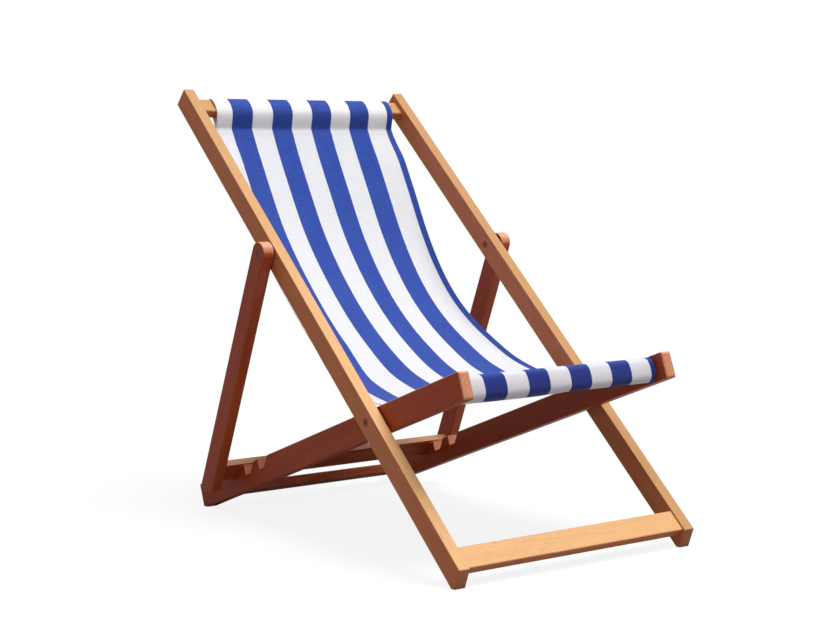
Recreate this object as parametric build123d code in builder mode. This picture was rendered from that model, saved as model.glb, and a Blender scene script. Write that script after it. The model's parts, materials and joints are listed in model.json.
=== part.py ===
from build123d import *
import os
from math import atan2, cos, degrees, hypot, radians, sin, sqrt, tan

# Folding deck chair with a hung canvas sling, in millimetres.
# +Z is up, the sitter faces -Y, the chair is mirrored about the plane X = 0.
# The origin is on the floor, under the middle of the chair's outline.
# "right" and "left" are the sitter's: right is -X, left is +X.
#
# Three frames work together:
#   the long frame leans back from the foot board to the top bar,
#   the seat frame crosses it inside and stands on its rear ends,
#   the prop frame hangs outside the long frame and rests its cross bar
#   in a pair of notches cut in the seat rails.

# ---- driving dimensions -------------------------------------------------
long_frame_width = 540.0      # over the outer faces of the long rails
rail_thickness = 23.0         # every rail and leg, across the chair
side_gap = 3.5                # between neighbouring rails, filled by a washer

long_tilt = 42.3              # long rails above the floor, degrees
seat_tilt = 20.4              # seat rails above the floor, degrees

seat_pivot_y = -193.0
seat_pivot_z = 245.0

long_rail_depth = 41.0
long_rail_down = 336.0        # seat pivot to the toe's upper edge, on the front face
long_rail_up = 858.0          # seat pivot to the top end
prop_pivot_up = 414.5         # seat pivot to prop pivot, along the long rail
toe_lean = 21.0               # the toe's end face from upright, degrees
toe_radius = 3.0

seat_rail_depth = 49.0
seat_rail_back = 648.0        # seat pivot to the rear end
seat_rail_front = 250.0       # seat pivot to the front end
seat_end_radius = 5.0

notch_count = 3
notch_pitch = 53.0
notch_first = 520.0           # seat pivot to the wall of the rearmost notch
notch_depth = 20.0
notch_floor = 17.5
notch_mouth = 37.0
notch_clearance = 0.5         # cross bar to the notch it rests in
notch_to_bar = 15.0           # notch wall to the lower front corner of the resting bar

prop_leg_depth = 40.0
prop_leg_top = 23.0           # prop pivot to the rounded top
prop_leg_crown = 2.0          # flat left between the two rounded top corners
prop_leg_length = 519.0       # prop pivot to the rear corner of the lower end
prop_leg_lift = 52.6          # lower end above the floor, cut level with it
prop_bar_offset = 18.0        # front face of the bar, ahead of the leg's middle

slat_width = 36.0             # top bar, seat front bar and seat rear bar
slat_thickness = 20.0
slat_radius = 4.0
top_bar_up = 824.0            # seat pivot to the middle of the top bar
front_bar_out = 212.0         # seat pivot to the middle of the seat front bar
rear_bar_back = 615.0         # seat pivot to the middle of the seat rear bar
foot_board_down = 310.0       # seat pivot to the middle of the foot board
foot_board_width = 43.0
foot_board_thickness = 18.0
foot_board_recess = 4.0       # below the front faces of the long rails
prop_bar_height = 33.0
prop_bar_thickness = 20.0

edge_round = 2.0              # eased long edges of the timber
end_round = 1.2               # eased end edges
overcut = 1.0                 # how far a cutting outline runs past the face it cuts
tenon_length = 12.0
tenon_shoulder = 4.0          # step from the bar's faces to its tenon
glue_gap = 0.1

bolt_diameter = 8.0
thread_diameter = 6.0
head_diameter = 15.0
head_height = 2.4
head_round = 0.8
socket_across = 4.0           # hexagon socket in each head, over its flats
socket_depth = 1.4
sleeve_length = 19.0          # nut's sleeve, measured from its flange
running_gap = 0.05            # a turning fit, on the radius
face_gap = 0.1                # between faces that slide on each other
recess_gap = 0.6              # around a head sunk in a turning rail
washer_diameter = 26.0

canvas_thickness = 1.6
canvas_width = 436.0
canvas_gap = 0.4              # sleeve to the bar inside it
canvas_root = 1.0             # how deep the hanging sheet starts inside a sleeve's wall
canvas_top_drop = 4.0         # where it leaves the top sleeve, below the bar's middle

# ---- derived positions --------------------------------------------------
long_outer = long_frame_width / 2
long_inner = long_outer - rail_thickness
seat_outer = long_inner - side_gap
seat_inner = seat_outer - rail_thickness
leg_inner = long_outer + side_gap
leg_outer = leg_inner + rail_thickness


def slope_point(start, tilt, along, across):
    """(y, z) of a point reached along a slope and square to it, from a (y, z) start."""
    turn = radians(tilt)
    y = start[0] + along * cos(turn) - across * sin(turn)
    z = start[1] + along * sin(turn) + across * cos(turn)
    return (y, z)


def side_plane(point, tilt, x):
    """Plane facing +X at a given x; its own x axis climbs to the rear at the tilt."""
    turn = radians(tilt)
    return Plane(
        origin=(x, point[0], point[1]), x_dir=(0, cos(turn), sin(turn)), z_dir=(1, 0, 0)
    )


def slope_axis(tilt):
    """Direction of the rails that stand at this tilt."""
    return Axis((0, 0, 0), (0, cos(radians(tilt)), sin(radians(tilt))))


seat_pivot = (seat_pivot_y, seat_pivot_z)
toe_slant = long_rail_depth * tan(radians(long_tilt - toe_lean))
prop_pivot = slope_point(seat_pivot, long_tilt, prop_pivot_up, 0)

# Seat rails fall to the rear, so their slope is negative and their own x
# axis runs from the pivot to the rear end.
seat_slope = -seat_tilt

# The cross bar's lower front corner stands on the floor of the rearmost notch,
# and its lower rear corner stands against the wall.  That fixes the leg's slope.
notch_top = seat_rail_depth / 2
notch_base = notch_top - notch_depth
bar_rest = slope_point(
    seat_pivot,
    seat_slope,
    notch_first - notch_clearance - notch_to_bar,
    notch_base + notch_clearance,
)
bar_reach = hypot(bar_rest[0] - prop_pivot[0], bar_rest[1] - prop_pivot[1])
bar_down = sqrt(bar_reach**2 - prop_bar_offset**2)
bar_angle = degrees(atan2(bar_rest[1] - prop_pivot[1], bar_rest[0] - prop_pivot[0]))
prop_slope = bar_angle + degrees(atan2(prop_bar_offset, bar_down))

long_axis = slope_axis(long_tilt)
seat_axis = slope_axis(seat_slope)
prop_axis = slope_axis(prop_slope)

# Middles of the bars: distance along the slope, offset square to it.
top_bar_centre = (top_bar_up, 0.0)
foot_board_centre = (
    -foot_board_down,
    long_rail_depth / 2 - foot_board_recess - foot_board_thickness / 2,
)
front_bar_centre = (-front_bar_out, 0.0)
rear_bar_centre = (rear_bar_back, 0.0)
prop_bar_centre = (
    bar_down - prop_bar_height / 2,
    prop_bar_thickness / 2 - prop_bar_offset,
)

os.makedirs("parts", exist_ok=True)
sides = {"right": -1, "left": 1}


def save(part, name):
    """Label a finished piece and write it as one STEP file."""
    part.label = name
    export_step(part, f"parts/{name}.step")


# ---- timber bars that tie each pair of rails -----------------------------
# Each bar is (start point, slope, middle, width along the slope, thickness,
# half span between the rails, corner radius).
bars = {
    "top_bar": (
        seat_pivot, long_tilt, top_bar_centre, slat_width, slat_thickness,
        long_inner, slat_radius,
    ),
    "foot_board": (
        seat_pivot, long_tilt, foot_board_centre, foot_board_width, foot_board_thickness,
        long_inner, edge_round,
    ),
    "seat_front_bar": (
        seat_pivot, seat_slope, front_bar_centre, slat_thickness, slat_width,
        seat_inner, slat_radius,
    ),
    "seat_rear_bar": (
        seat_pivot, seat_slope, rear_bar_centre, slat_width, slat_thickness,
        seat_inner, edge_round,
    ),
    "prop_cross_bar": (
        prop_pivot, prop_slope, prop_bar_centre, prop_bar_height, prop_bar_thickness,
        leg_inner, edge_round,
    ),
}

for bar_name, (start, tilt, middle, width, thickness, span, radius) in bars.items():
    with BuildPart() as bar:
        with BuildSketch(side_plane(start, tilt, 0)):
            with Locations(middle):
                RectangleRounded(width, thickness, radius)
        extrude(amount=span, both=True)
        with BuildSketch(side_plane(start, tilt, 0)):
            with Locations(middle):
                Rectangle(width - 2 * tenon_shoulder, thickness - 2 * tenon_shoulder)
        extrude(amount=span + tenon_length, both=True)
    save(bar.part, bar_name)


def cut_mortise(bar_name, side):
    """Blind mortise for one bar's tenon, cut into the rail being built."""
    start, tilt, middle, width, thickness, span, _ = bars[bar_name]
    with BuildSketch(side_plane(start, tilt, side * span)) as slot:
        with Locations(middle):
            Rectangle(
                width - 2 * (tenon_shoulder - glue_gap),
                thickness - 2 * (tenon_shoulder - glue_gap),
            )
    extrude(slot.sketch, amount=side * (tenon_length + glue_gap), mode=Mode.SUBTRACT)


def cut_round(point, x, side, diameter, depth):
    """Round hole along X from the plane x, going outwards on the given side."""
    with BuildSketch(side_plane(point, 0, x)) as disc:
        Circle(diameter / 2)
    extrude(disc.sketch, amount=side * depth, mode=Mode.SUBTRACT)


def cut_socket(point, x, side):
    """Hexagon socket for the key, sunk into a head whose outer face is at x."""
    with BuildSketch(side_plane(point, 0, x)) as hexagon:
        RegularPolygon(socket_across / 2, 6, major_radius=False)
    extrude(hexagon.sketch, amount=-side * socket_depth, mode=Mode.SUBTRACT)


def add_round(point, x, side, diameter, length):
    """Round bar along X from the plane x, going outwards on the given side."""
    with BuildSketch(side_plane(point, 0, x)) as disc:
        Circle(diameter / 2)
    extrude(disc.sketch, amount=side * length)


# ---- long rails ----------------------------------------------------------
for side_name, side in sides.items():
    with BuildPart() as long_rail:
        with BuildSketch(side_plane(seat_pivot, long_tilt, side * long_inner)) as outline:
            with BuildLine():
                Polyline(
                    (long_rail_up, -long_rail_depth / 2),
                    (long_rail_up, long_rail_depth / 2),
                    (-long_rail_down, long_rail_depth / 2),
                    (-long_rail_down - toe_slant, -long_rail_depth / 2),
                    close=True,
                )
            make_face()
            toe = outline.vertices().sort_by(Axis.X)[1]
            fillet(toe, toe_radius)
        extrude(amount=side * rail_thickness)
        fillet(long_rail.edges().filter_by(long_axis), edge_round)
        fillet(long_rail.faces().filter_by(long_axis).sort_by(Axis.Z)[-1].edges(), end_round)
        split(bisect_by=Plane.XY, keep=Keep.TOP)
        cut_mortise("top_bar", side)
        cut_mortise("foot_board", side)
        # Seat pivot: head sunk in the outer face.
        cut_round(seat_pivot, side * long_inner, side, bolt_diameter + 2 * running_gap, rail_thickness)
        cut_round(
            seat_pivot, side * (long_outer - head_height), side,
            head_diameter + 2 * running_gap, head_height,
        )
        # Prop pivot: nut flange sunk in the inner face.
        cut_round(prop_pivot, side * long_inner, side, bolt_diameter + 2 * running_gap, rail_thickness)
        cut_round(
            prop_pivot, side * long_inner, side, head_diameter + 2 * running_gap, head_height
        )
    save(long_rail.part, f"long_rail_{side_name}")

# ---- seat rails ----------------------------------------------------------
for side_name, side in sides.items():
    with BuildPart() as seat_rail:
        with BuildSketch(side_plane(seat_pivot, seat_slope, side * seat_inner)):
            with Locations((-seat_rail_front, -seat_rail_depth / 2)):
                Rectangle(
                    seat_rail_front + seat_rail_back, seat_rail_depth,
                    align=(Align.MIN, Align.MIN),
                )
        extrude(amount=side * rail_thickness)
        fillet(seat_rail.edges().filter_by(seat_axis), edge_round)
        front_end = seat_rail.faces().filter_by(seat_axis).sort_by(Axis.Y)[0]
        fillet(front_end.edges(), seat_end_radius)
        # Saw-tooth notches: an upright rear wall, a short floor, and a front
        # side that lies along the face of the resting cross bar.
        with BuildSketch(side_plane(seat_pivot, seat_slope, side * seat_inner)):
            for step in range(notch_count):
                wall = notch_first - step * notch_pitch
                with BuildLine():
                    Polyline(
                        (wall, notch_base),
                        (wall, notch_top + overcut),
                        (wall - notch_mouth - overcut, notch_top + overcut),
                        (wall - notch_mouth, notch_top),
                        (wall - notch_floor, notch_base),
                        close=True,
                    )
                make_face()
        extrude(amount=side * rail_thickness, mode=Mode.SUBTRACT)
        split(bisect_by=Plane.XY, keep=Keep.TOP)
        cut_mortise("seat_front_bar", side)
        cut_mortise("seat_rear_bar", side)
        cut_round(seat_pivot, side * seat_inner, side, bolt_diameter + 2 * running_gap, rail_thickness)
        cut_round(
            seat_pivot, side * seat_inner, side,
            head_diameter + 2 * recess_gap, head_height + face_gap,
        )
    save(seat_rail.part, f"seat_rail_{side_name}")

# ---- prop legs -----------------------------------------------------------
for side_name, side in sides.items():
    with BuildPart() as prop_leg:
        with BuildSketch(side_plane(prop_pivot, prop_slope, side * leg_inner)) as outline:
            with Locations((-prop_leg_top, -prop_leg_depth / 2)):
                Rectangle(
                    prop_leg_top + prop_leg_length, prop_leg_depth, align=(Align.MIN, Align.MIN)
                )
            fillet(outline.vertices().group_by(Axis.X)[0], (prop_leg_depth - prop_leg_crown) / 2)
        extrude(amount=side * rail_thickness)
        fillet(prop_leg.edges().filter_by(prop_axis), edge_round)
        split(bisect_by=Plane.XY.offset(prop_leg_lift), keep=Keep.TOP)
        fillet(prop_leg.faces().sort_by(Axis.Z)[0].edges(), end_round)
        cut_mortise("prop_cross_bar", side)
        cut_round(prop_pivot, side * leg_inner, side, bolt_diameter + 2 * running_gap, rail_thickness)
        cut_round(
            prop_pivot, side * (leg_outer - head_height - face_gap), side,
            head_diameter + 2 * recess_gap, head_height + face_gap,
        )
    save(prop_leg.part, f"prop_leg_{side_name}")

# ---- pivot hardware ------------------------------------------------------
# A flat-headed bolt enters from the outside; a sleeve nut meets it from the
# inside; both take a hexagon key.  Each pivot is (point, inner face of the flange, outer face of the
# head, face the washer bears on).
pivots = {
    "seat_pivot": (seat_pivot, seat_inner, long_outer, seat_outer),
    "prop_pivot": (prop_pivot, long_inner, leg_outer, long_outer),
}

for pivot_name, (point, flange_face, head_face, washer_face) in pivots.items():
    for side_name, side in sides.items():
        sleeve_end = flange_face + sleeve_length
        with BuildPart() as bolt:
            add_round(point, side * (head_face - head_height), side, head_diameter, head_height)
            add_round(
                point, side * sleeve_end, side, bolt_diameter, head_face - head_height - sleeve_end
            )
            add_round(
                point, side * (flange_face + head_height), side, thread_diameter,
                head_face - flange_face - 2 * head_height,
            )
            rim = bolt.faces().sort_by(Axis.X, reverse=side > 0)[0].edges()
            fillet(rim, head_round)
            cut_socket(point, side * head_face, side)
        save(bolt.part, f"{pivot_name}_bolt_{side_name}")

        with BuildPart() as nut:
            add_round(point, side * flange_face, side, head_diameter, head_height)
            add_round(point, side * flange_face, side, bolt_diameter, sleeve_length - face_gap)
            cut_round(
                point, side * (flange_face + head_height - face_gap), side,
                thread_diameter + 2 * running_gap, sleeve_length,
            )
            rim = nut.faces().sort_by(Axis.X, reverse=side < 0)[0].edges()
            fillet(rim, head_round)
            cut_socket(point, side * flange_face, -side)
        save(nut.part, f"{pivot_name}_nut_{side_name}")

        with BuildPart() as washer:
            add_round(
                point, side * (washer_face + face_gap / 2), side, washer_diameter,
                side_gap - face_gap,
            )
            cut_round(
                point, side * washer_face, side, bolt_diameter + 2 * running_gap, side_gap
            )
        save(washer.part, f"{pivot_name}_washer_{side_name}")

# ---- canvas sling --------------------------------------------------------
# One strip of canvas: a sewn sleeve round the top bar, the hanging back, the
# low seat pocket, and a sewn sleeve round the seat front bar.
sleeve_grow = 2 * (canvas_gap + canvas_thickness)
sling_top = slope_point(
    seat_pivot, long_tilt, top_bar_up - slat_width / 2 - canvas_root, -canvas_top_drop
)
sling_front = slope_point(
    seat_pivot,
    seat_slope,
    -front_bar_out + slat_thickness / 2 - canvas_root,
    slat_width / 2,
)
# Rearward and upward from the seat pivot: four points down the back, then the
# pocket the sitter's weight rests in.
sling_hang = [(537.5, 409.0), (463.0, 288.0), (320.0, 135.0), (202.0, 68.0)]
sling_pocket = [(22.0, 27.0), (-98.0, 28.0)]

with BuildPart() as sling:
    with BuildSketch(Plane.YZ):
        with BuildLine() as hang:
            between = [
                slope_point(seat_pivot, 0, back, up) for back, up in sling_hang + sling_pocket
            ]
            Spline(sling_top, *between, sling_front)
        trace(hang.line, canvas_thickness)
    extrude(amount=canvas_width / 2, both=True)
    sleeves = (
        (long_tilt, top_bar_centre, slat_width, slat_thickness),
        (seat_slope, front_bar_centre, slat_thickness, slat_width),
    )
    for tilt, middle, width, height in sleeves:
        with BuildSketch(side_plane(seat_pivot, tilt, 0)):
            with Locations(middle):
                RectangleRounded(
                    width + sleeve_grow, height + sleeve_grow, slat_radius + sleeve_grow / 2
                )
        extrude(amount=canvas_width / 2, both=True)
    for tilt, middle, width, height in sleeves:
        with BuildSketch(side_plane(seat_pivot, tilt, 0)):
            with Locations(middle):
                RectangleRounded(
                    width + 2 * canvas_gap, height + 2 * canvas_gap, slat_radius + canvas_gap
                )
        extrude(amount=canvas_width / 2, both=True, mode=Mode.SUBTRACT)
save(sling.part, "sling")
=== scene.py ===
import json
import math

import bpy
import numpy as np
from mathutils import Matrix, Vector


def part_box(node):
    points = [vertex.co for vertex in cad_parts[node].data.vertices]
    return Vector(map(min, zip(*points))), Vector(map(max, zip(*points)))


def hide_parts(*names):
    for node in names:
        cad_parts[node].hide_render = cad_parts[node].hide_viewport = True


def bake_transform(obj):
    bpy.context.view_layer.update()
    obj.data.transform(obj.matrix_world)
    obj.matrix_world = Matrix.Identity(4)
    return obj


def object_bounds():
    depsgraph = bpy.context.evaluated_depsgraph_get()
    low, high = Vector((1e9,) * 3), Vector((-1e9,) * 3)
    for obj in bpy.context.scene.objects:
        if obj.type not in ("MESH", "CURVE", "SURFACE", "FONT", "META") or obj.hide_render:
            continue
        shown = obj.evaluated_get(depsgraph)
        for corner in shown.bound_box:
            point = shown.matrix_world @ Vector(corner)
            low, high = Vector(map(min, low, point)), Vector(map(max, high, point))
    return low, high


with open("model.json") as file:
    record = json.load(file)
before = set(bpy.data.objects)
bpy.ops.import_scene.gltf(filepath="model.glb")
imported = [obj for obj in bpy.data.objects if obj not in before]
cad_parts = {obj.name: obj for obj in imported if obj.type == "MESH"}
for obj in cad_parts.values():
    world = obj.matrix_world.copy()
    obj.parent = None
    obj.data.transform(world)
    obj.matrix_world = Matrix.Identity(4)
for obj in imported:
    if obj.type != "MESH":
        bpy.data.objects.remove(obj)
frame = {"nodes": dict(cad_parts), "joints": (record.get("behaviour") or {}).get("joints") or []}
cad_low, cad_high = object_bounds()

# A folding deck chair: varnished timber frames, a striped canvas sling and sunk pivot
# bolts.  Metres; +Z up, the sitter faces -Y, X runs across the chair.

MM = 0.001

# ---- places taken from the frame -------------------------------------------
joint_at = {joint["name"]: Vector(joint["pos_m"]) for joint in frame["joints"]}
seat_pivot = joint_at["seat_fold"]


def middle(node):
    """Middle of a CAD node's box."""
    low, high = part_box(node)
    return (low + high) / 2


def slope(start, end):
    """Angle above the floor, in the side view, of the way from start to end."""
    return math.atan2(end.z - start.z, end.y - start.y)


def side_point(point):
    """(rearward, upward) distance from the seat pivot, in the side view."""
    return np.array((point.y - seat_pivot.y, point.z - seat_pivot.z))


top_bar_mid = side_point(middle("top_bar"))
front_bar_mid = side_point(middle("seat_front_bar"))
long_slope = slope(seat_pivot, middle("top_bar"))
seat_slope = slope(middle("seat_front_bar"), seat_pivot)


# ---- shader helpers ----------------------------------------------------------
def colour(red, green, blue):
    """A colour given in display values from 0 to 255, as the shaders want it."""

    def linear(value):
        value /= 255
        return value / 12.92 if value <= 0.04045 else ((value + 0.055) / 1.055) ** 2.4

    return (linear(red), linear(green), linear(blue), 1.0)


class Shader:
    """A material's node tree, built by short calls."""

    def __init__(self, owner):
        owner.use_nodes = True
        self.tree = owner.node_tree
        self.tree.nodes.clear()

    def add(self, kind, inputs=None, **settings):
        """One node; inputs are given by name or number, as values or other sockets."""
        node = self.tree.nodes.new("ShaderNode" + kind)
        for key, value in settings.items():
            setattr(node, key, value)
        for key, value in (inputs or {}).items():
            if isinstance(value, bpy.types.NodeSocket):
                self.tree.links.new(value, node.inputs[key])
            else:
                node.inputs[key].default_value = value
        return node

    def math(self, operation, first, second=0.0, third=0.0):
        inputs = {0: first, 1: second, 2: third}
        return self.add("Math", inputs, operation=operation).outputs[0]

    def dot(self, first, second):
        inputs = {0: first, 1: second}
        return self.add("VectorMath", inputs, operation="DOT_PRODUCT").outputs["Value"]

    def scaled(self, vector, factors):
        inputs = {0: vector, 1: factors}
        return self.add("VectorMath", inputs, operation="MULTIPLY").outputs[0]

    def noise(self, vector, detail=2.0, rough=0.5):
        inputs = {"Vector": vector, "Scale": 1.0, "Detail": detail, "Roughness": rough}
        return self.add("TexNoise", inputs).outputs["Fac"]

    def span(self, value, low, high, to_low=0.0, to_high=1.0):
        """Value from low..high moved smoothly onto to_low..to_high."""
        inputs = {
            "Value": value, "From Min": low, "From Max": high,
            "To Min": to_low, "To Max": to_high,
        }
        node = self.add("MapRange", inputs, interpolation_type="SMOOTHSTEP")
        return node.outputs["Result"]

    def mix(self, factor, first, second):
        node = self.add("Mix", {"Factor": factor, 6: first, 7: second}, data_type="RGBA")
        return node.outputs[2]

    def bump(self, height, depth, strength=1.0):
        inputs = {"Height": height, "Distance": depth, "Strength": strength}
        return self.add("Bump", inputs).outputs[0]

    def output(self, surface, kind="OutputMaterial"):
        self.add(kind, {"Surface": surface})


# ---- timber --------------------------------------------------------------------
def grain_frame(node):
    """Directions along, across and through a straight piece of timber.

    Along is the direction that the faces' normals have least of, weighted by area.
    """
    polygons = frame["nodes"][node].data.polygons
    normals = np.array([p.normal for p in polygons])
    areas = np.array([p.area for p in polygons])
    _, vectors = np.linalg.eigh((normals * areas[:, None]).T @ normals)
    return [Vector(vectors[:, k]) for k in (0, 1, 2)]


GOLDEN = {
    "pale": colour(218, 168, 112),
    "deep": colour(192, 134, 80),
    # painted shade: the tone of sides and undersides
    "side": colour(186, 88, 46),
    # the end faces' tone: end grain, partly painted shade
    "end": colour(146, 70, 38),
    # the edges' tone: worn varnish and a painted highlight
    "paler": colour(228, 182, 136),
    # painted light: the tone of upward faces
    "painted_top_light": colour(218, 168, 116),
    # the darker tone of the golden wood high up and on the darkened pieces
    "darker": colour(182, 134, 84),
}
RED = {
    "pale": colour(184, 92, 46),
    "deep": colour(142, 58, 24),
    # painted shade: the tone of sides and undersides
    "side": colour(156, 50, 12),
    # the end faces' tone: end grain, partly painted light
    "end": colour(216, 150, 116),
    # the edges' tone: worn varnish and a painted highlight
    "paler": colour(218, 144, 98),
    # painted light: the tone of upward faces
    "painted_top_light": colour(234, 176, 138),
}
PORE_BROWN = colour(60, 26, 14)

# How much darker than its neighbours a golden piece is made, from 0 to 1.
DARKENING = {"long_rail_left": 0.85, "top_bar": 0.5}


def timber(name, node, tones, offset):
    """Varnished hardwood whose grain runs along the node."""
    material = bpy.data.materials.new(name)
    s = Shader(material)
    along, across, through = grain_frame(node)
    place = s.add("TexCoord").outputs["Object"]
    local = s.add(
        "CombineXYZ",
        {
            0: s.math("ADD", s.dot(place, along), offset),
            1: s.math("ADD", s.dot(place, across), 0.31 * offset),
            2: s.dot(place, through),
        },
    ).outputs[0]

    # Growth rings: planes nearly parallel to the grain, bent by slow noise.
    bend = s.noise(s.scaled(local, (2.2, 22.0, 22.0)), 2.0)
    split = s.add("SeparateXYZ", {0: local})
    slant = s.math("MULTIPLY", split.outputs[1], 60.0)
    depth = s.math("MULTIPLY_ADD", split.outputs[2], 150.0, slant)
    phase = s.math("MULTIPLY_ADD", bend, 9.0, depth)
    ring = s.math("SINE", s.math("MULTIPLY", phase, 2 * math.pi))
    ring = s.span(ring, -1.0, 1.0)

    # Broad tone changes, and fine streaks and pores drawn out along the grain.
    broad = s.noise(s.scaled(local, (5.0, 45.0, 45.0)), 3.0)
    streak = s.noise(s.scaled(local, (14.0, 420.0, 420.0)), 3.0, 0.6)
    pore = s.span(s.noise(s.scaled(local, (60.0, 1400.0, 1400.0)), 1.0), 0.62, 0.74)

    tone = s.math("MULTIPLY_ADD", ring, 0.16, s.math("MULTIPLY", broad, 0.74))
    tone = s.math("MULTIPLY_ADD", streak, 0.45, tone)
    tone = s.span(tone, 0.38, 0.98)
    wood = s.mix(tone, tones["deep"], tones["pale"])

    # Painted shade: sides and undersides take a darker, redder tone.  Painted light: upward
    # faces take a lighter one.  The golden wood is darker higher up, and on some pieces
    # throughout.  The sawn ends show the rings, in a tone of their own that is partly
    # end grain and partly painted shade on the golden ends and painted light on the red ones.
    normal = s.add("TexCoord").outputs["Normal"]
    sideways = s.math("ABSOLUTE", s.dot(normal, (1.0, 0.0, 0.0)))
    endways = s.math("ABSOLUTE", s.dot(normal, along))
    upward = s.dot(normal, (0.0, 0.0, 1.0))
    # Painted shade on faces that look sideways or down.
    painted_shade_share = s.math("MAXIMUM", s.span(sideways, 0.55, 0.95), s.span(upward, -0.2, -0.6))
    # Painted light on faces that look upward.
    painted_top_light = s.mix(s.span(upward, 0.3, 0.8, 0.0, 0.8), wood, tones["painted_top_light"])
    height = s.add("SeparateXYZ", {0: place}).outputs[2]
    # The golden wood is made darker higher up, and on some pieces throughout.
    darkening = s.math("MAXIMUM", s.span(height, 0.3, 0.85, 0.0, 0.75), DARKENING.get(node, 0.0))
    if "darker" in tones:
        painted_top_light = s.mix(darkening, painted_top_light, tones["darker"])
    side = s.mix(0.75, wood, tones["side"])
    wood = s.mix(painted_shade_share, painted_top_light, side)
    # End faces: end grain, with painted shade on the golden ends and painted light on the red
    # ones.
    end = s.mix(s.span(ring, 0.0, 1.0, 0.55, 0.75), wood, tones["end"])
    wood = s.mix(s.span(endways, 0.25, 0.6), wood, end)
    dark = s.mix(0.5, wood, PORE_BROWN)
    wood = s.mix(s.math("MULTIPLY", pore, 0.55), wood, dark)

    # Paler edges: partly varnish worn thin, partly a painted highlight along the rounded edges.
    eased = s.add("Bevel", {"Radius": 2.5 * MM}, samples=4).outputs[0]
    true_normal = s.add("NewGeometry").outputs["True Normal"]
    edge = s.span(s.dot(eased, true_normal), 0.98, 0.80)
    paler = s.math("MULTIPLY", edge, s.span(broad, 0.35, 0.65, 0.15, 0.5))
    wood = s.mix(paler, wood, tones["paler"])

    rough = s.span(streak, 0.2, 0.8, 0.34, 0.52)
    relief = s.math("MULTIPLY_ADD", pore, -0.7, s.math("MULTIPLY", streak, 0.6))
    inputs = {
        "Base Color": wood,
        "Roughness": rough,
        "Specular IOR Level": 0.25,
        "Coat Weight": 0.08,
        "Coat Roughness": 0.3,
        "Normal": s.bump(relief, 0.35 * MM, 0.6),
    }
    s.output(s.add("BsdfPrincipled", inputs).outputs[0])
    return material


# ---- canvas ----------------------------------------------------------------------
STRIPE = 47.94 * MM           # width of one stripe
FIRST_STRIPE = -176.7 * MM    # where the first blue stripe starts, across the chair
THREAD = 0.9 * MM             # pitch of the weave

# Dull and bright threads of each colour, what sun does to them, and the painted light and shade
# on the sleeves.
WHITE = (colour(232, 233, 236), colour(243, 244, 246))
BLUE = (colour(30, 64, 160), colour(48, 86, 184))
FADED_BLUE = colour(58, 90, 182)
PAINTED_LIGHT_WHITE = colour(252, 250, 251)   # the top sleeve's whites brightened: painted light
SHADE_WHITE = colour(220, 211, 218)   # painted shade on the sleeve under the sitter's knees
SHADE_BLUE = colour(14, 32, 122)
WEAVE_GAP_SHADE = colour(30, 34, 70)      # painted shade in the gaps between the threads
# the thread's tones, darker than the cloth's: partly painted shade along the seams
THREAD_WHITE = (colour(196, 196, 206), colour(214, 214, 222))
THREAD_BLUE = (colour(32, 58, 142), colour(46, 76, 164))
TRANSLUCENT = 0.24                    # share of the light that passes through the cloth


def stripes(s, across):
    """1 on the blue stripes and 0 on the white ones."""
    count = s.math("DIVIDE", s.math("SUBTRACT", across, FIRST_STRIPE), STRIPE)
    wave = s.math("SINE", s.math("MULTIPLY", count, math.pi))
    return s.span(wave, -0.02, 0.02)


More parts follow.
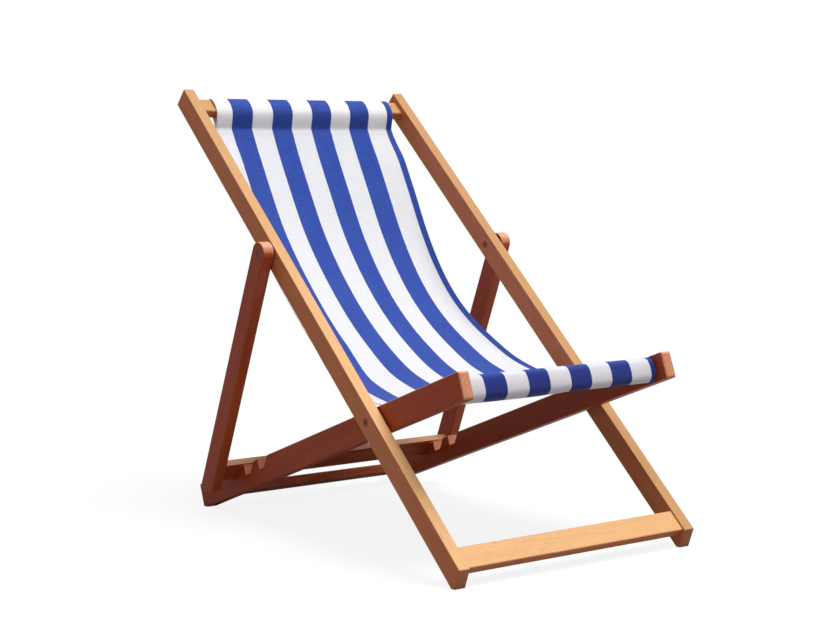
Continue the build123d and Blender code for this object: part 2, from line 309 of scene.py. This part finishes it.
def canvas_material(top_sleeve, front_sleeve):
    """Woven canvas with blue and white stripes; its map holds metres across and along.

    Along the cloth, one sleeve ends at top_sleeve and the other starts at front_sleeve.
    Painted shade darkens the front sleeve and a band near the top sleeve's end, and
    painted light brightens the top sleeve's whites.
    """
    material = bpy.data.materials.new("striped_canvas")
    s = Shader(material)
    cloth = s.add("UVMap", uv_map="cloth").outputs[0]
    split = s.add("SeparateXYZ", {0: cloth})
    across, down = split.outputs[0], split.outputs[1]

    # The dyed warp threads wander by a fraction of a thread at each stripe's edge.
    wander = s.noise(s.scaled(cloth, (900.0, 260.0, 0.0)), 1.0)
    blue_share = stripes(s, s.math("MULTIPLY_ADD", wander, 1.2 * MM, across))

    # Plain weave: warp and weft threads go over and under each other by turns.
    warp = s.math("SINE", s.math("MULTIPLY", across, 2 * math.pi / THREAD))
    weft = s.math("SINE", s.math("MULTIPLY", down, 2 * math.pi / THREAD))
    weave = s.math("MULTIPLY", warp, weft)
    slub = s.noise(s.scaled(cloth, (1100.0, 40.0, 0.0)), 2.0)
    pick = s.noise(s.scaled(cloth, (40.0, 1100.0, 0.0)), 2.0)
    fade = s.noise(s.scaled(cloth, (9.0, 7.0, 0.0)), 3.0)
    threads = s.math("ADD", slub, pick)

    white = s.mix(s.span(threads, 0.7, 1.3), *WHITE)
    blue = s.mix(s.span(threads, 0.7, 1.3), *BLUE)
    blue = s.mix(s.span(fade, 0.35, 0.7, 0.0, 0.35), blue, FADED_BLUE)
    # Painted shade on the front sleeve, in both colours.
    front_sleeve_shade = s.span(down, front_sleeve + 0.012, front_sleeve + 0.03, 0.0, 0.85)
    # Painted light: the whites of the top sleeve are brightened.
    white = s.mix(s.span(down, top_sleeve, top_sleeve - 0.02), white, PAINTED_LIGHT_WHITE)
    white = s.mix(s.math("MULTIPLY", front_sleeve_shade, 0.6), white, SHADE_WHITE)
    # Painted shade on a band of the blue near the top sleeve's end.
    top_band_shade = s.math(
        "MULTIPLY",
        s.span(down, top_sleeve - 0.05, top_sleeve - 0.03, 0.0, 0.3),
        s.span(down, top_sleeve + 0.002, top_sleeve),
    )
    blue = s.mix(s.math("MAXIMUM", front_sleeve_shade, top_band_shade), blue, SHADE_BLUE)
    # The stripes' colours, with the painted light and shade laid on them.
    dye_and_painted_shading = s.mix(blue_share, white, blue)
    # Painted shade in the gaps of the weave.
    gap_shade = s.span(weave, -1.0, -0.4, 0.16, 0.0)
    dye_and_painted_shading = s.mix(gap_shade, dye_and_painted_shading, WEAVE_GAP_SHADE)

    relief = s.math("MULTIPLY_ADD", weave, 0.35, s.math("MULTIPLY", threads, 0.5))
    normal = s.bump(relief, 0.25 * MM, 0.8)
    skin = s.add(
        "BsdfPrincipled",
        {
            "Base Color": dye_and_painted_shading, "Roughness": 0.82, "Normal": normal,
            "Sheen Weight": 0.22, "Sheen Roughness": 0.5, "Specular IOR Level": 0.25,
        },
    )
    glow = s.add("BsdfTranslucent", {"Color": dye_and_painted_shading, "Normal": normal})
    mixed = s.add("MixShader", {0: TRANSLUCENT, 1: skin.outputs[0], 2: glow.outputs[0]})
    s.output(mixed.outputs[0])
    return material


def thread_material():
    """Twisted sewing thread, dyed like the canvas but darker, partly as painted shade along the
    seams.
    """
    material = bpy.data.materials.new("sewing_thread")
    s = Shader(material)
    place = s.add("TexCoord").outputs["Object"]
    twist = s.math("SINE", s.math("MULTIPLY", s.dot(place, (0.7, 0.5, 0.5)), 9000.0))
    twist = s.span(twist, -1.0, 1.0)
    # The thread takes the colour of the stripe it is sewn through.
    blue_share = stripes(s, s.add("SeparateXYZ", {0: place}).outputs[0])
    # The thread's tones are darker than the cloth's, partly as painted shade along the seams.
    white = s.mix(twist, *THREAD_WHITE)
    blue = s.mix(twist, *THREAD_BLUE)
    tone = s.mix(blue_share, white, blue)
    inputs = {"Base Color": tone, "Roughness": 0.6, "Sheen Weight": 0.3}
    inputs["Normal"] = s.bump(twist, 0.1 * MM)
    s.output(s.add("BsdfPrincipled", inputs).outputs[0])
    return material


# ---- metal -----------------------------------------------------------------------
def metal(name, base, paler, rough, shine):
    """Turned metal with fine streaks and a mottled finish."""
    material = bpy.data.materials.new(name)
    s = Shader(material)
    place = s.add("TexCoord").outputs["Object"]
    mottle = s.noise(s.scaled(place, (420.0, 420.0, 420.0)), 4.0, 0.65)
    brushed = s.noise(s.scaled(place, (90.0, 2600.0, 2600.0)), 2.0)
    tone = s.mix(s.span(mottle, 0.35, 0.7), base, paler)
    inputs = {
        "Base Color": tone,
        "Metallic": shine,
        "Roughness": s.span(mottle, 0.3, 0.7, rough - 0.08, rough + 0.12),
        "Normal": s.bump(s.math("ADD", mottle, brushed), 0.12 * MM, 0.5),
    }
    s.output(s.add("BsdfPrincipled", inputs).outputs[0])
    return material


# ---- the sling's shape --------------------------------------------------------------
CANVAS = 1.6 * MM             # thickness of the cloth
SNUG = 0.4 * MM               # sleeve to bar
SLAT_ROUND = 4.0 * MM         # corner radius of the two bars in the sleeves
LOOSE = 0.5 * MM              # further slack of the cloth at the bars' corners
BULGE = (3.4 * MM, 2.4 * MM)  # and over the middles of their wide and narrow sides
SLAT_LONG = 18.0 * MM         # half of a bar's wide side
SLAT_SHORT = 10.0 * MM        # half of its narrow side
BACK_EDGE = (-213.0 * MM, 221.0 * MM)    # the cloth's two edges on the back
FRONT_EDGE = (-218.4 * MM, 218.4 * MM)   # and between the seat rails
WIDTH = FRONT_EDGE[1] - FRONT_EDGE[0]

# Where the two layers of each sleeve meet, and the way the hanging cloth takes between
# them: rearward and upward from the seat pivot, on the chair's middle plane.
TOP_SEAM = np.array((592.7, 514.7)) * MM
HANG = np.array(
    (
        (576.0, 479.5), (526.0, 388.0), (472.0, 298.0), (409.0, 219.0), (337.0, 149.5),
        (255.0, 91.5), (166.0, 51.0), (60.0, 27.5), (-45.0, 22.0), (-112.0, 38.0),
    )
) * MM
FRONT_SEAM = np.array((-156.0, 63.0)) * MM
SEAM_ALLOWANCE = 18.0 * MM    # from where the layers meet to the hem's end
STITCH_AT = 13.0 * MM         # from where the layers meet to the row of stitches
HANG_STEP = 7.0 * MM          # between the rows of the hanging cloth
FINE_STEP = 2.5 * MM          # between the rows of the sleeves

TOP_EASE = 0.09               # metres down from the top sleeve before it hangs freely
FRONT_EASE = 0.16             # and up from the front sleeve
EDGE_EASE = (0.02, 0.30)      # rearward of the seat pivot, from front edges to back edges
SEAT_REAR = (0.27, 0.17)      # rearward of the seat pivot, where the sunk seat begins
SEAT_FRONT = (-0.08, 0.06)    # and where it ends
RIGHT_PART = (0.25, 0.65)     # from the middle, at 0, to the right edge, at 1

EDGE_RISE = 14.0 * MM         # the two edges over the middle of the hanging cloth
BACK_LEAN = 18.0 * MM         # how far the slack back leans to one side, at the edges
BACK_LEAN_AT = 0.40           # where it leans most, in metres down the hanging cloth
BACK_LEAN_SPREAD = 0.17
SEAT_SUNK = 4.0 * MM          # how deep the whole seat has sunk
RIGHT_SUNK = 12.0 * MM        # and its right part beyond that

HEM_WIDTH = (8.6 * MM, 9.4 * MM)   # where the turned-in side hem's step starts and ends
HEM_STEP = 0.35 * MM          # how much the hem's extra layer shows on each face
HEM_STITCH = 6.5 * MM         # from the cloth's edge to the hem's stitches
STITCH_WIDTH = 0.9 * MM
STITCH_HEIGHT = 0.5 * MM
STITCH_LENGTH = 3.2 * MM
STITCH_PITCH = 4.2 * MM
SEAM_END = 0.004              # share of the width left bare at a seam's ends


def unit(vector):
    return vector / np.linalg.norm(vector)


def outward(direction):
    """The side-view normal on the sitter's side of cloth that runs down and forward."""
    return np.array((direction[1], -direction[0]))


def smooth_curve(points, steps):
    """Points on a smooth curve through the given ones, about a step apart.

    steps holds the step of each stretch between two given points.
    """
    points = np.asarray(points)
    at = np.concatenate(([0], np.cumsum(np.linalg.norm(np.diff(points, axis=0), axis=1))))
    slopes = np.gradient(points, at, axis=0)
    made = []
    for k in range(len(points) - 1):
        length = at[k + 1] - at[k]
        count = max(2, round(length / steps[k]))
        for t in np.arange(count) / count:
            made.append(
                (2 * t**3 - 3 * t**2 + 1) * points[k]
                + (t**3 - 2 * t**2 + t) * length * slopes[k]
                + (3 * t**2 - 2 * t**3) * points[k + 1]
                + (t**3 - t**2) * length * slopes[k + 1]
            )
    return made + [points[-1]]


def wrap_bar(mid, tilt, half, first_quarter, before, after):
    """Knots of the cloth's middle line round a bar, between the points before and after.

    half is the bar's half size along its tilt and square to it.  The line turns
    anticlockwise round the four corners, the first of them by number: 0 far and upper,
    1 near and upper, 2 near and lower, 3 far and lower.  It touches the corners and
    stands off the middles of the sides, as thick cloth does.
    """
    turn = math.radians(90)
    skin = SNUG + LOOSE + CANVAS / 2
    radius = SLAT_ROUND + skin
    reach = np.array(half) - SLAT_ROUND
    axis = np.array((math.cos(tilt), math.sin(tilt)))
    square = np.array((-math.sin(tilt), math.cos(tilt)))
    signs = ((1, 1), (-1, 1), (-1, -1), (1, -1))
    knots = []
    for k in range(4):
        quarter = (first_quarter + k) % 4
        sign = signs[quarter]
        centre = mid + sign[0] * reach[0] * axis + sign[1] * reach[1] * square
        start = tilt + quarter * turn
        end = start + turn
        if k == 0:
            gap = centre - before
            angle = math.atan2(gap[1], gap[0]) - math.acos(-radius / np.linalg.norm(gap))
            start = end - (end - angle + math.pi) % (2 * math.pi) + math.pi
        if k == 3:
            gap = after - centre
            angle = math.atan2(gap[1], gap[0]) - math.acos(radius / np.linalg.norm(gap))
            end = start + (angle - start) % (2 * math.pi)
        angle = (start + end) / 2
        knots.append(centre + radius * np.array((math.cos(angle), math.sin(angle))))
        if k < 3:
            facing = (square, -axis, -square, axis)[quarter]
            depth = half[1 - quarter % 2]
            bulge = BULGE[0] if depth == min(half) else BULGE[1]
            knots.append(mid + facing * (depth + skin + bulge))
    return knots


def spaced(points, step):
    """The same line with extra points, so that none are more than a step apart."""
    made = [points[0]]
    for point in points[1:]:
        count = max(1, math.ceil(np.linalg.norm(point - made[-1]) / step))
        start = made[-1]
        made += [start + (point - start) * k / count for k in range(1, count + 1)]
    return made


def sling_line():
    """The cloth's middle line in the side view, hem to hem, with two markers.

    The markers are the row numbers where the hanging cloth starts and ends.
    """
    layer = CANVAS + 0.1 * MM
    top_way = unit(HANG[0] - TOP_SEAM)
    top_back = TOP_SEAM - layer * outward(top_way)
    front_way = unit(HANG[-1] - FRONT_SEAM)
    front_under = FRONT_SEAM + layer * outward(front_way)

    top = wrap_bar(
        top_bar_mid, long_slope, (SLAT_LONG, SLAT_SHORT), 2, top_back, TOP_SEAM
    )
    top = smooth_curve([top_back, *top, TOP_SEAM], [FINE_STEP] * (len(top) + 1))
    front = wrap_bar(
        front_bar_mid, seat_slope, (SLAT_SHORT, SLAT_LONG), 0, HANG[-1], front_under
    )
    steps = [HANG_STEP] * (len(HANG) + 1) + [FINE_STEP] * len(front)
    lower = smooth_curve([TOP_SEAM, *HANG, *front, front_under], steps)
    top_hem = spaced([top_back + SEAM_ALLOWANCE * top_way, top_back], FINE_STEP)
    front_hem = spaced([front_under, front_under + SEAM_ALLOWANCE * front_way], FINE_STEP)
    line = np.array(top_hem[:-1] + top[:-1] + lower[:-1] + front_hem)
    sleeve_start = np.argmin(np.linalg.norm(line - front[0], axis=1))
    return line, len(top_hem) + len(top) - 2, int(sleeve_start)


def smoothstep(value, low, high):
    t = np.clip((value - low) / (high - low), 0, 1)
    return t * t * (3 - 2 * t)


line, hang_start, hang_end = sling_line()
line_at = np.concatenate(([0], np.cumsum(np.linalg.norm(np.diff(line, axis=0), axis=1))))
ways = np.gradient(line, line_at, axis=0)
normals = np.array([outward(unit(way)) for way in ways])
hang_at = line_at[hang_start]
hang_length = line_at[hang_end] - hang_at


def sling_point(row, share, lift):
    """A point of the cloth: its row, 0..1 across, and its height over the middle line."""
    down = line_at[row] - hang_at
    hanging = smoothstep(down, 0.0, TOP_EASE) * smoothstep(hang_length - down, 0.0, FRONT_EASE)
    back = line[row][0]
    rear = smoothstep(back, *EDGE_EASE)
    left = FRONT_EDGE[0] + rear * (BACK_EDGE[0] - FRONT_EDGE[0])
    right = FRONT_EDGE[1] + rear * (BACK_EDGE[1] - FRONT_EDGE[1])
    x = left + share * (right - left)
    # The middle hangs lower than the two edges, and the slack part of the back
    # leans a little to one side.
    part = x / FRONT_EDGE[1]
    trough = EDGE_RISE * abs(part) ** 3
    lean = BACK_LEAN * part * math.exp(-(((down - BACK_LEAN_AT) / BACK_LEAN_SPREAD) ** 2))
    # The seat has sunk a little, most of all along the sitter's right edge.
    seat = smoothstep(back, *SEAT_REAR) * smoothstep(back, *SEAT_FRONT)
    sunk = seat * (SEAT_SUNK + RIGHT_SUNK * smoothstep(-part, *RIGHT_PART))
    height = lift + hanging * (trough - lean) - sunk
    y, z = line[row] + height * normals[row]
    return (x, seat_pivot.y + y, seat_pivot.z + z), (x, line_at[row])


def sling_columns():
    """Shares across the cloth, close together at the hems' steps."""
    near = np.array((0.0, 0.5, 2.5, 6.0, 8.6, 9.4, 12.0)) * MM / WIDTH
    first_inner = 16.0 * MM / WIDTH
    inner = np.linspace(first_inner, 1 - first_inner, 59)
    return np.concatenate((near, inner, 1 - near[::-1]))


def half_thickness(share):
    """Half of the cloth's thickness: more in the hems, rounded off at the very edge."""
    from_edge = min(share, 1 - share) * WIDTH
    hem = HEM_STEP * float(1 - smoothstep(from_edge, *HEM_WIDTH))
    rounding = 0.45 + 0.55 * float(smoothstep(from_edge, -0.2 * MM, 1.6 * MM))
    return (CANVAS / 2 + hem) * rounding


def mesh_object(name, vertices, faces, uvs=None):
    """A mesh object with smooth faces; uvs holds one (u, v) for each vertex."""
    mesh = bpy.data.meshes.new(name)
    mesh.from_pydata([tuple(v) for v in vertices], [], faces)
    mesh.validate()
    mesh.polygons.foreach_set("use_smooth", [True] * len(mesh.polygons))
    if uvs is not None:
        layer = mesh.uv_layers.new(name="cloth")
        corner_vertex = np.zeros(len(mesh.loops), np.int32)
        mesh.loops.foreach_get("vertex_index", corner_vertex)
        layer.data.foreach_set("uv", np.array(uvs, np.float32)[corner_vertex].ravel())
    mesh.update()
    made = bpy.data.objects.new(name, mesh)
    bpy.context.scene.collection.objects.link(made)
    return made


def make_sling():
    """The canvas as one closed sheet: outer face, edge, inner face, edge, row by row."""
    shares = sling_columns()
    ring = [(share, 1) for share in shares] + [(share, -1) for share in shares[::-1]]
    vertices, uvs = [], []
    for row in range(len(line)):
        for share, face in ring:
            point, place = sling_point(row, share, face * half_thickness(share))
            vertices.append(point)
            uvs.append(place)
    size = len(ring)
    faces = []
    for row in range(len(line) - 1):
        for k in range(size):
            after = (k + 1) % size
            low, high = row * size, (row + 1) * size
            faces.append((low + k, low + after, high + after, high + k))
    last = (len(line) - 1) * size
    half = len(shares)
    for k in range(half - 1):
        other = size - 1 - k
        faces.append((k, other, other - 1, k + 1))
        faces.append((last + k, last + k + 1, last + other - 1, last + other))
    return mesh_object("canvas_sling", vertices, faces, uvs)


# The rings of one stitch: places along its length, how full they are, and their rise.
STITCH_RINGS = (
    (-0.5, 0.35, -0.5), (-0.3, 0.9, 0.3), (0.0, 1.0, 0.6), (0.3, 0.9, 0.3), (0.5, 0.35, -0.5),
)
STITCH_SIDES = 6


def lay_stitches(path, normal_at):
    """Little raised stitches along a path of points, as (vertices, faces)."""
    path = np.array(path)
    at = np.concatenate(([0], np.cumsum(np.linalg.norm(np.diff(path, axis=0), axis=1))))
    turns = np.linspace(0, 2 * math.pi, STITCH_SIDES + 1)[:-1]
    profile = [(math.cos(turn), math.sin(turn)) for turn in turns]

    def read(table, place):
        return np.array([np.interp(place, at, table[:, k]) for k in range(3)])

    vertices, faces = [], []
    half_pitch = STITCH_PITCH / 2
    for centre_at in np.arange(half_pitch, at[-1] - half_pitch, STITCH_PITCH):
        base = len(vertices)
        for along, swell, rise in STITCH_RINGS:
            here = centre_at + along * STITCH_LENGTH
            centre = read(path, here)
            way = unit(read(path, here + 1 * MM) - read(path, here - 1 * MM))
            up = read(normal_at, here)
            side = unit(np.cross(way, up))
            for c, n in profile:
                outwards = side * c * STITCH_WIDTH / 2 * swell
                upwards = up * (n * swell + rise) * STITCH_HEIGHT / 2
                vertices.append(centre + outwards + upwards)
        count = len(profile)
        for ring in range(len(STITCH_RINGS) - 1):
            for k in range(count):
                low, high = base + ring * count, base + (ring + 1) * count
                after = (k + 1) % count
                faces.append((low + k, low + after, high + after, high + k))
        faces.append(tuple(base + k for k in range(count - 1, -1, -1)))
        top = base + (len(STITCH_RINGS) - 1) * count
        faces.append(tuple(top + k for k in range(count)))
    return vertices, faces


def nearest_row(place):
    """The row of the cloth nearest to a distance along it."""
    return int(np.argmin(abs(line_at - place)))


def make_stitching():
    """The rows of thread: three across the sleeves' seams, two down each side hem."""
    paths = []
    top_front = nearest_row(hang_at + STITCH_AT)
    top_back = nearest_row(SEAM_ALLOWANCE - STITCH_AT)
    front_under = nearest_row(line_at[-1] - SEAM_ALLOWANCE + STITCH_AT)
    across = np.linspace(SEAM_END, 1 - SEAM_END, 140)
    for row in (top_front, top_back, front_under):
        points = [sling_point(row, share, CANVAS / 2)[0] for share in across]
        normal = np.array((0.0, *normals[row]))
        paths.append((points, np.tile(normal, (len(points), 1))))
    hem_share = HEM_STITCH / WIDTH
    hanging = range(hang_start + 1, hang_end - 1)
    for share in (hem_share, 1 - hem_share):
        for face in (1, -1):
            lift = face * half_thickness(share)
            points = [sling_point(row, share, lift)[0] for row in hanging]
            normal_at = np.array([(0.0, *(face * normals[row])) for row in hanging])
            paths.append((points, normal_at))
    vertices, faces = [], []
    for points, normal_at in paths:
        new_vertices, new_faces = lay_stitches(points, normal_at)
        base = len(vertices)
        vertices += new_vertices
        faces += [tuple(base + k for k in face) for face in new_faces]
    return mesh_object("canvas_stitching", vertices, faces)


sling = make_sling()
sling.data.materials.append(canvas_material(hang_at, line_at[hang_end]))
stitching = make_stitching()
stitching.data.materials.append(thread_material())

# The cloth's placements are baked into its meshes, and the frame's own sling is hidden.
for cloth in (sling, stitching):
    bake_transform(cloth)
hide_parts("sling")

# ---- finishes of the frame's own nodes ------------------------------------------------
slots = {
    "golden_timber": ("long_rail_right", "long_rail_left", "top_bar", "foot_board"),
    "red_timber": (
        "seat_rail_right", "seat_rail_left", "seat_front_bar", "seat_rear_bar",
        "prop_leg_right", "prop_leg_left", "prop_cross_bar",
    ),
}
tones = {"golden_timber": GOLDEN, "red_timber": RED}


def dress(node, material):
    """Gives a CAD node one material."""
    mesh = frame["nodes"][node].data
    mesh.materials.clear()
    mesh.materials.append(material)


for slot, nodes in slots.items():
    for number, node in enumerate(nodes):
        dress(node, timber(f"{slot}_{node}", node, tones[slot], 0.73 * number + 0.2))

bronze = metal("bronzed_steel", colour(128, 64, 44), colour(156, 86, 62), 0.5, 0.35)
steel = metal("steel_washer", colour(120, 116, 110), colour(160, 156, 150), 0.36, 0.9)
for pivot in ("seat_pivot", "prop_pivot"):
    for side in ("right", "left"):
        dress(f"{pivot}_bolt_{side}", bronze)
        dress(f"{pivot}_nut_{side}", bronze)
        dress(f"{pivot}_washer_{side}", steel)


# ---- floor, light and camera --------------------------------------------------------
FLOOR_REACH = 18.0
FLOOR_BOUNCE = 0.34           # the floor's grey, as everything but the camera sees it
FILL = (0.93, 0.95, 1.0, 1.0)
FILL_STRENGTH = 0.43
WHITE_LIGHT = (1.0, 1.0, 1.0, 1.0)

CAMERA_PLACE = (-2.0675, -2.7248, 0.7211)
CAMERA_YAW = 36.788           # degrees
CAMERA_PITCH = -3.344
CAMERA_ROLL = 0.111
CAMERA_LENS = 77.256          # millimetres, on a 36 mm sensor
CAMERA_SHIFT = (0.0127, -0.08)

KEY_TOWARD = (0.16, -0.32, 0.93)
KEY_DISTANCE = 16.0
KEY_SIZE = 9.6
KEY_POWER = 3250.0


def make_floor():
    """A pale floor that fades into a white surround away from the chair."""
    reach = FLOOR_REACH
    corners = [(-reach, -reach, 0), (reach, -reach, 0), (reach, reach, 0), (-reach, reach, 0)]
    floor = mesh_object("floor", corners, [(0, 1, 2, 3)])
    material = bpy.data.materials.new("pale_floor")
    s = Shader(material)
    place = s.add("NewGeometry").outputs["Position"]
    speckle = s.noise(s.scaled(place, (60.0, 60.0, 60.0)), 3.0)
    tone = s.mix(s.span(speckle, 0.3, 0.7), colour(240, 240, 240), colour(246, 246, 246))
    matt = s.add("BsdfDiffuse", {"Color": tone}).outputs[0]
    grey = (FLOOR_BOUNCE, FLOOR_BOUNCE, FLOOR_BOUNCE, 1.0)
    dim = s.add("BsdfDiffuse", {"Color": grey}).outputs[0]
    glow = s.add("Emission", {"Color": WHITE_LIGHT, "Strength": 1.0}).outputs[0]
    away = s.add("VectorMath", {0: place}, operation="LENGTH").outputs["Value"]
    seen = s.add("MixShader", {0: s.span(away, 0.45, 1.3, 0.86, 1.0), 1: matt, 2: glow})
    # Only the camera sees the floor at its full brightness, so that it throws little
    # light back up under the chair.
    camera_ray = s.add("LightPath").outputs["Is Camera Ray"]
    s.output(s.add("MixShader", {0: camera_ray, 1: dim, 2: seen.outputs[0]}).outputs[0])
    floor.data.materials.append(material)


def make_world():
    """White to the camera, a soft grey fill to everything else."""
    world = bpy.data.worlds.new("studio")
    bpy.context.scene.world = world
    s = Shader(world)
    fill = s.add("Background", {"Color": FILL, "Strength": FILL_STRENGTH})
    white = s.add("Background", {"Color": WHITE_LIGHT, "Strength": 1.0})
    camera_ray = s.add("LightPath").outputs["Is Camera Ray"]
    mixed = s.add("MixShader", {0: camera_ray, 1: fill.outputs[0], 2: white.outputs[0]})
    s.output(mixed.outputs[0], "OutputWorld")


def area_light(name, toward, distance, size, power):
    """A square soft box that looks at the chair's middle from a direction."""
    centre = (cad_low + cad_high) / 2
    light = bpy.data.lights.new(name, "AREA")
    light.shape = "SQUARE"
    light.size = size
    light.energy = power
    lamp = bpy.data.objects.new(name, light)
    lamp.location = centre + Vector(toward).normalized() * distance
    lamp.rotation_euler = (centre - lamp.location).to_track_quat("-Z", "Y").to_euler()
    bpy.context.scene.collection.objects.link(lamp)


def make_camera():
    """Looks at the chair from its front right corner, a little above the seat."""
    camera = bpy.data.cameras.new("camera")
    camera.sensor_width = 36.0
    camera.lens = CAMERA_LENS
    camera.shift_x, camera.shift_y = CAMERA_SHIFT
    seen_by = bpy.data.objects.new("camera", camera)
    yaw = math.radians(CAMERA_YAW)
    pitch = math.radians(CAMERA_PITCH)
    roll = math.radians(CAMERA_ROLL)
    forward = Vector(
        (math.sin(yaw) * math.cos(pitch), math.cos(yaw) * math.cos(pitch), math.sin(pitch))
    )
    turn = forward.to_track_quat("-Z", "Y").to_matrix() @ Matrix.Rotation(-roll, 3, "Z")
    seen_by.location = CAMERA_PLACE
    seen_by.rotation_euler = turn.to_euler()
    bpy.context.scene.collection.objects.link(seen_by)
    bpy.context.scene.camera = seen_by


make_floor()
make_world()
area_light("key", KEY_TOWARD, KEY_DISTANCE, KEY_SIZE, KEY_POWER)
make_camera()
bpy.context.scene.view_settings.view_transform = "Standard"
bpy.context.scene.view_settings.look = "None"
